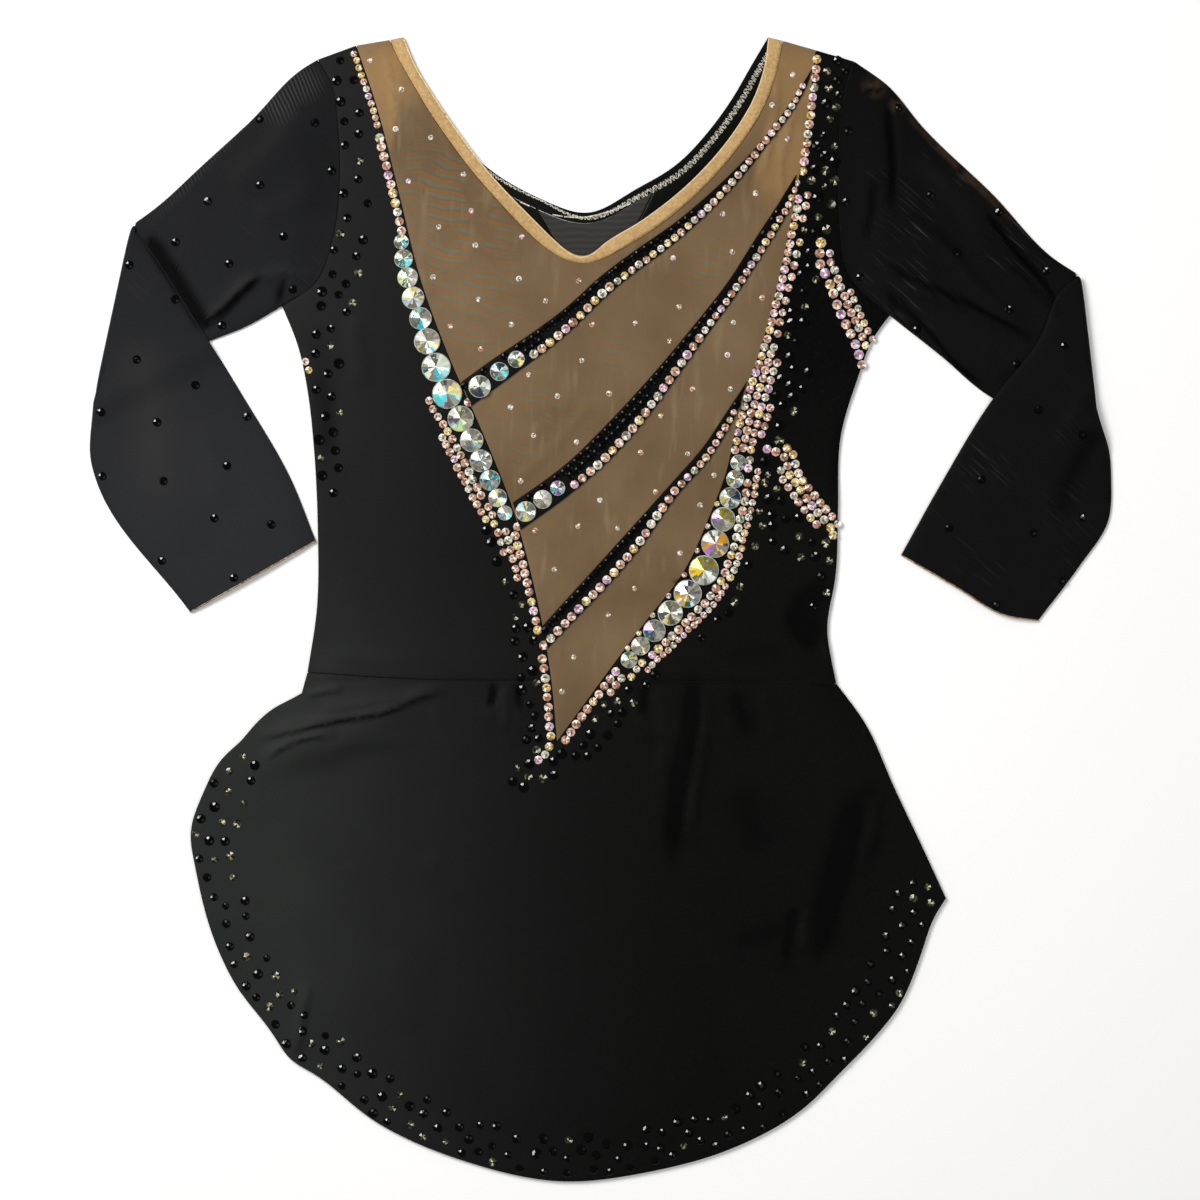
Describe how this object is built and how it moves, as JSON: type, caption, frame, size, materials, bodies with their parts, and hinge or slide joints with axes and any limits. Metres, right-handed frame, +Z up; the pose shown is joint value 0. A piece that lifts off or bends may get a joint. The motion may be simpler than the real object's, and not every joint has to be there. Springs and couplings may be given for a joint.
{
  "type": "leotard with attached skirt, laid flat",
  "caption": "Stretch competition leotard laid flat: mesh sleeves folded at the elbow, V mesh front with curved bands and graded stones, short round skirt over the brief",
  "frame": {"origin": "centre of the bounding box, on the surface that the garment lies on", "axes": "+Y towards the shoulders, +X to the right of a viewer who looks down on the front, +Z up through the front"},
  "size_m": [0.5445, 0.6097, 0.0111],
  "materials": {
    "stretch": "opaque black stretch jersey, matt with a faint sheen",
    "mesh": "sheer black stretch mesh, matt",
    "nude_mesh": "nude stretch mesh, fine weave",
    "binding": "light tan satin binding",
    "thread": "black hem with silver-white cover stitch",
    "crystal": "clear faceted sew-on stones with a rainbow coating"
  },
  "bodies": {
    "root": {"back_bodice": "stretch", "back_mesh_panel": "mesh", "back_neck_hem": "thread", "brief_back": "stretch", "brief_front": "stretch", "skirt_back": "stretch", "skirt_front": "stretch", "front_left_panel": "stretch", "front_right_panel": "stretch", "front_mesh_inset": "nude_mesh", "front_neck_binding": "binding", "band_upper": "stretch", "band_middle": "stretch", "band_lower": "stretch", "stone_row_left": "crystal", "stone_row_right": "crystal", "sleeve_left": "mesh", "sleeve_right": "mesh"}
  },
  "joints": []
}
